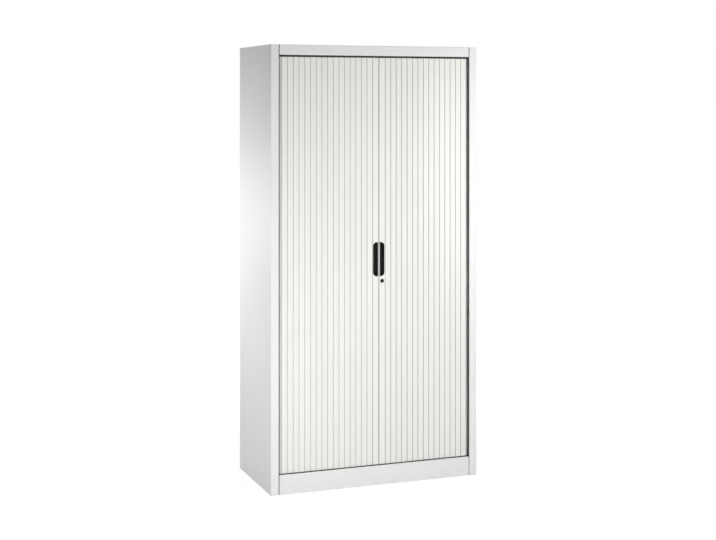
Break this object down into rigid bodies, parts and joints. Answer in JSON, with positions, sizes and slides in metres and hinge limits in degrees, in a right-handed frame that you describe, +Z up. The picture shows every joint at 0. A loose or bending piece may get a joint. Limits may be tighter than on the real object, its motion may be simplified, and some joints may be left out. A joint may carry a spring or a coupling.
{
  "type": "tambour door cabinet",
  "caption": "Tall free-standing steel cupboard closed by slatted plastic leaves that slide apart sideways, with shelves and a lock.",
  "frame": {"origin": "middle of the base, on the floor", "axes": "+Z up, -Y towards the front with the leaves, +X to the right as seen from the front"},
  "size_m": [1, 0.5, 1.99],
  "materials": {
    "carcass_steel": "pale grey-white powder coat, fine texture, satin",
    "track_plastic": "black low-friction plastic, matt",
    "slat_plastic": "warm off-white extruded plastic, satin",
    "rail_plastic": "warm off-white extruded rail, satin",
    "grip_plastic": "black moulded plastic, fine grain",
    "lock_black": "black plastic-capped lock body",
    "zinc_plate": "bright zinc-plated steel"
  },
  "bodies": {
    "carcass": {"left_side_panel": "carcass_steel", "right_side_panel": "carcass_steel", "top_panel": "carcass_steel", "head_panel": "carcass_steel", "bottom_panel": "carcass_steel", "back_panel": "carcass_steel", "plinth": "carcass_steel", "left_inner_wall": "carcass_steel", "right_inner_wall": "carcass_steel", "shelf_1": "carcass_steel", "shelf_2": "carcass_steel", "shelf_3": "carcass_steel", "shelf_4": "carcass_steel", "bottom_track": "track_plastic", "top_track": "track_plastic"},
    "left_lead": {"left_lead_rail": "rail_plastic", "left_grip_cup": "grip_plastic", "lock_keeper": "zinc_plate"},
    "right_lead": {"right_lead_rail": "rail_plastic", "right_grip_cup": "grip_plastic", "lock_housing": "lock_black"},
    "lock_bolt": {"lock_core": "zinc_plate", "lock_hook": "zinc_plate"},
    "left_slat_01": {"left_slat_01": "slat_plastic"},
    "left_slat_02": {"left_slat_02": "slat_plastic"},
    "left_slat_03": {"left_slat_03": "slat_plastic"},
    "left_slat_04": {"left_slat_04": "slat_plastic"},
    "left_slat_05": {"left_slat_05": "slat_plastic"},
    "left_slat_06": {"left_slat_06": "slat_plastic"},
    "left_slat_07": {"left_slat_07": "slat_plastic"},
    "left_slat_08": {"left_slat_08": "slat_plastic"},
    "left_slat_09": {"left_slat_09": "slat_plastic"},
    "left_slat_10": {"left_slat_10": "slat_plastic"},
    "left_slat_11": {"left_slat_11": "slat_plastic"},
    "left_slat_12": {"left_slat_12": "slat_plastic"},
    "left_slat_13": {"left_slat_13": "slat_plastic"},
    "left_slat_14": {"left_slat_14": "slat_plastic"},
    "left_slat_15": {"left_slat_15": "slat_plastic"},
    "left_slat_16": {"left_slat_16": "slat_plastic"},
    "left_slat_17": {"left_slat_17": "slat_plastic"},
    "right_slat_01": {"right_slat_01": "slat_plastic"},
    "right_slat_02": {"right_slat_02": "slat_plastic"},
    "right_slat_03": {"right_slat_03": "slat_plastic"},
    "right_slat_04": {"right_slat_04": "slat_plastic"},
    "right_slat_05": {"right_slat_05": "slat_plastic"},
    "right_slat_06": {"right_slat_06": "slat_plastic"},
    "right_slat_07": {"right_slat_07": "slat_plastic"},
    "right_slat_08": {"right_slat_08": "slat_plastic"},
    "right_slat_09": {"right_slat_09": "slat_plastic"},
    "right_slat_10": {"right_slat_10": "slat_plastic"},
    "right_slat_11": {"right_slat_11": "slat_plastic"},
    "right_slat_12": {"right_slat_12": "slat_plastic"},
    "right_slat_13": {"right_slat_13": "slat_plastic"},
    "right_slat_14": {"right_slat_14": "slat_plastic"},
    "right_slat_15": {"right_slat_15": "slat_plastic"},
    "right_slat_16": {"right_slat_16": "slat_plastic"},
    "foot_front_left": {"foot_front_left": "zinc_plate"},
    "foot_front_right": {"foot_front_right": "zinc_plate"},
    "foot_rear_left": {"foot_rear_left": "zinc_plate"},
    "foot_rear_right": {"foot_rear_right": "zinc_plate"}
  },
  "joints": [
    {"name": "left_door_slide", "type": "slide", "parent": "carcass", "child": "left_lead", "axis": [-1, 0, 0], "range_m": [0, 0.435]},
    {"name": "right_door_slide", "type": "slide", "parent": "carcass", "child": "right_lead", "axis": [1, 0, 0], "range_m": [0, 0.403]},
    {"name": "left_slat_01_slide", "type": "slide", "parent": "carcass", "child": "left_slat_01", "axis": [-1, 0, 0], "range_m": [0, 0.4355], "deforming": ["left_slat_01"]},
    {"name": "left_slat_02_slide", "type": "slide", "parent": "carcass", "child": "left_slat_02", "axis": [-1, 0, 0], "range_m": [0, 0.426], "deforming": ["left_slat_02"]},
    {"name": "left_slat_03_slide", "type": "slide", "parent": "carcass", "child": "left_slat_03", "axis": [-1, 0, 0], "range_m": [0, 0.399], "deforming": ["left_slat_03"]},
    {"name": "left_slat_04_slide", "type": "slide", "parent": "carcass", "child": "left_slat_04", "axis": [-1, 0, 0], "range_m": [0, 0.372], "deforming": ["left_slat_04"]},
    {"name": "left_slat_05_slide", "type": "slide", "parent": "carcass", "child": "left_slat_05", "axis": [-1, 0, 0], "range_m": [0, 0.345], "deforming": ["left_slat_05"]},
    {"name": "left_slat_06_slide", "type": "slide", "parent": "carcass", "child": "left_slat_06", "axis": [-1, 0, 0], "range_m": [0, 0.318], "deforming": ["left_slat_06"]},
    {"name": "left_slat_07_slide", "type": "slide", "parent": "carcass", "child": "left_slat_07", "axis": [-1, 0, 0], "range_m": [0, 0.291], "deforming": ["left_slat_07"]},
    {"name": "left_slat_08_slide", "type": "slide", "parent": "carcass", "child": "left_slat_08", "axis": [-1, 0, 0], "range_m": [0, 0.264], "deforming": ["left_slat_08"]},
    {"name": "left_slat_09_slide", "type": "slide", "parent": "carcass", "child": "left_slat_09", "axis": [-1, 0, 0], "range_m": [0, 0.237], "deforming": ["left_slat_09"]},
    {"name": "left_slat_10_slide", "type": "slide", "parent": "carcass", "child": "left_slat_10", "axis": [-1, 0, 0], "range_m": [0, 0.21], "deforming": ["left_slat_10"]},
    {"name": "left_slat_11_slide", "type": "slide", "parent": "carcass", "child": "left_slat_11", "axis": [-1, 0, 0], "range_m": [0, 0.183], "deforming": ["left_slat_11"]},
    {"name": "left_slat_12_slide", "type": "slide", "parent": "carcass", "child": "left_slat_12", "axis": [-1, 0, 0], "range_m": [0, 0.156], "deforming": ["left_slat_12"]},
    {"name": "left_slat_13_slide", "type": "slide", "parent": "carcass", "child": "left_slat_13", "axis": [-1, 0, 0], "range_m": [0, 0.129], "deforming": ["left_slat_13"]},
    {"name": "left_slat_14_slide", "type": "slide", "parent": "carcass", "child": "left_slat_14", "axis": [-1, 0, 0], "range_m": [0, 0.102], "deforming": ["left_slat_14"]},
    {"name": "left_slat_15_slide", "type": "slide", "parent": "carcass", "child": "left_slat_15", "axis": [-1, 0, 0], "range_m": [0, 0.075], "deforming": ["left_slat_15"]},
    {"name": "left_slat_16_slide", "type": "slide", "parent": "carcass", "child": "left_slat_16", "axis": [-1, 0, 0], "range_m": [0, 0.048], "deforming": ["left_slat_16"]},
    {"name": "left_slat_17_slide", "type": "slide", "parent": "carcass", "child": "left_slat_17", "axis": [-1, 0, 0], "range_m": [0, 0.02298], "deforming": ["left_slat_17"]},
    {"name": "right_slat_01_slide", "type": "slide", "parent": "carcass", "child": "right_slat_01", "axis": [1, 0, 0], "range_m": [0, 0.4035], "deforming": ["right_slat_01"]},
    {"name": "right_slat_02_slide", "type": "slide", "parent": "carcass", "child": "right_slat_02", "axis": [1, 0, 0], "range_m": [0, 0.394], "deforming": ["right_slat_02"]},
    {"name": "right_slat_03_slide", "type": "slide", "parent": "carcass", "child": "right_slat_03", "axis": [1, 0, 0], "range_m": [0, 0.367], "deforming": ["right_slat_03"]},
    {"name": "right_slat_04_slide", "type": "slide", "parent": "carcass", "child": "right_slat_04", "axis": [1, 0, 0], "range_m": [0, 0.34], "deforming": ["right_slat_04"]},
    {"name": "right_slat_05_slide", "type": "slide", "parent": "carcass", "child": "right_slat_05", "axis": [1, 0, 0], "range_m": [0, 0.313], "deforming": ["right_slat_05"]},
    {"name": "right_slat_06_slide", "type": "slide", "parent": "carcass", "child": "right_slat_06", "axis": [1, 0, 0], "range_m": [0, 0.286], "deforming": ["right_slat_06"]},
    {"name": "right_slat_07_slide", "type": "slide", "parent": "carcass", "child": "right_slat_07", "axis": [1, 0, 0], "range_m": [0, 0.259], "deforming": ["right_slat_07"]},
    {"name": "right_slat_08_slide", "type": "slide", "parent": "carcass", "child": "right_slat_08", "axis": [1, 0, 0], "range_m": [0, 0.232], "deforming": ["right_slat_08"]},
    {"name": "right_slat_09_slide", "type": "slide", "parent": "carcass", "child": "right_slat_09", "axis": [1, 0, 0], "range_m": [0, 0.205], "deforming": ["right_slat_09"]},
    {"name": "right_slat_10_slide", "type": "slide", "parent": "carcass", "child": "right_slat_10", "axis": [1, 0, 0], "range_m": [0, 0.178], "deforming": ["right_slat_10"]},
    {"name": "right_slat_11_slide", "type": "slide", "parent": "carcass", "child": "right_slat_11", "axis": [1, 0, 0], "range_m": [0, 0.151], "deforming": ["right_slat_11"]},
    {"name": "right_slat_12_slide", "type": "slide", "parent": "carcass", "child": "right_slat_12", "axis": [1, 0, 0], "range_m": [0, 0.124], "deforming": ["right_slat_12"]},
    {"name": "right_slat_13_slide", "type": "slide", "parent": "carcass", "child": "right_slat_13", "axis": [1, 0, 0], "range_m": [0, 0.097], "deforming": ["right_slat_13"]},
    {"name": "right_slat_14_slide", "type": "slide", "parent": "carcass", "child": "right_slat_14", "axis": [1, 0, 0], "range_m": [0, 0.07], "deforming": ["right_slat_14"]},
    {"name": "right_slat_15_slide", "type": "slide", "parent": "carcass", "child": "right_slat_15", "axis": [1, 0, 0], "range_m": [0, 0.043], "deforming": ["right_slat_15"]},
    {"name": "right_slat_16_slide", "type": "slide", "parent": "carcass", "child": "right_slat_16", "axis": [1, 0, 0], "range_m": [0, 0.01991], "deforming": ["right_slat_16"]},
    {"name": "lock_turn", "type": "hinge", "parent": "right_lead", "child": "lock_bolt", "pos_m": [0.0315, -0.219, 0.922], "axis": [0, -1, 0], "range_deg": [0, 90]},
    {"name": "foot_front_left_adjust", "type": "slide", "parent": "carcass", "child": "foot_front_left", "axis": [0, 0, -1], "range_m": [0, 0.015]},
    {"name": "foot_front_right_adjust", "type": "slide", "parent": "carcass", "child": "foot_front_right", "axis": [0, 0, -1], "range_m": [0, 0.015]},
    {"name": "foot_rear_left_adjust", "type": "slide", "parent": "carcass", "child": "foot_rear_left", "axis": [0, 0, -1], "range_m": [0, 0.015]},
    {"name": "foot_rear_right_adjust", "type": "slide", "parent": "carcass", "child": "foot_rear_right", "axis": [0, 0, -1], "range_m": [0, 0.015]}
  ],
  "couplings": [
    {"joint": "left_slat_01_slide", "follows": "left_door_slide", "ratio": 1},
    {"joint": "left_slat_02_slide", "follows": "left_door_slide", "ratio": 0.97816},
    {"joint": "left_slat_03_slide", "follows": "left_door_slide", "ratio": 0.91609},
    {"joint": "left_slat_04_slide", "follows": "left_door_slide", "ratio": 0.85402},
    {"joint": "left_slat_05_slide", "follows": "left_door_slide", "ratio": 0.79195},
    {"joint": "left_slat_06_slide", "follows": "left_door_slide", "ratio": 0.72989},
    {"joint": "left_slat_07_slide", "follows": "left_door_slide", "ratio": 0.66782},
    {"joint": "left_slat_08_slide", "follows": "left_door_slide", "ratio": 0.60575},
    {"joint": "left_slat_09_slide", "follows": "left_door_slide", "ratio": 0.54368},
    {"joint": "left_slat_10_slide", "follows": "left_door_slide", "ratio": 0.48161},
    {"joint": "left_slat_11_slide", "follows": "left_door_slide", "ratio": 0.41954},
    {"joint": "left_slat_12_slide", "follows": "left_door_slide", "ratio": 0.35747},
    {"joint": "left_slat_13_slide", "follows": "left_door_slide", "ratio": 0.2954},
    {"joint": "left_slat_14_slide", "follows": "left_door_slide", "ratio": 0.23333},
    {"joint": "left_slat_15_slide", "follows": "left_door_slide", "ratio": 0.17126},
    {"joint": "left_slat_16_slide", "follows": "left_door_slide", "ratio": 0.1092},
    {"joint": "left_slat_17_slide", "follows": "left_door_slide", "ratio": 0.05168},
    {"joint": "right_slat_01_slide", "follows": "right_door_slide", "ratio": 1},
    {"joint": "right_slat_02_slide", "follows": "right_door_slide", "ratio": 0.97643},
    {"joint": "right_slat_03_slide", "follows": "right_door_slide", "ratio": 0.90943},
    {"joint": "right_slat_04_slide", "follows": "right_door_slide", "ratio": 0.84243},
    {"joint": "right_slat_05_slide", "follows": "right_door_slide", "ratio": 0.77543},
    {"joint": "right_slat_06_slide", "follows": "right_door_slide", "ratio": 0.70844},
    {"joint": "right_slat_07_slide", "follows": "right_door_slide", "ratio": 0.64144},
    {"joint": "right_slat_08_slide", "follows": "right_door_slide", "ratio": 0.57444},
    {"joint": "right_slat_09_slide", "follows": "right_door_slide", "ratio": 0.50744},
    {"joint": "right_slat_10_slide", "follows": "right_door_slide", "ratio": 0.44045},
    {"joint": "right_slat_11_slide", "follows": "right_door_slide", "ratio": 0.37345},
    {"joint": "right_slat_12_slide", "follows": "right_door_slide", "ratio": 0.30645},
    {"joint": "right_slat_13_slide", "follows": "right_door_slide", "ratio": 0.23945},
    {"joint": "right_slat_14_slide", "follows": "right_door_slide", "ratio": 0.17246},
    {"joint": "right_slat_15_slide", "follows": "right_door_slide", "ratio": 0.10546},
    {"joint": "right_slat_16_slide", "follows": "right_door_slide", "ratio": 0.048157}
  ]
}
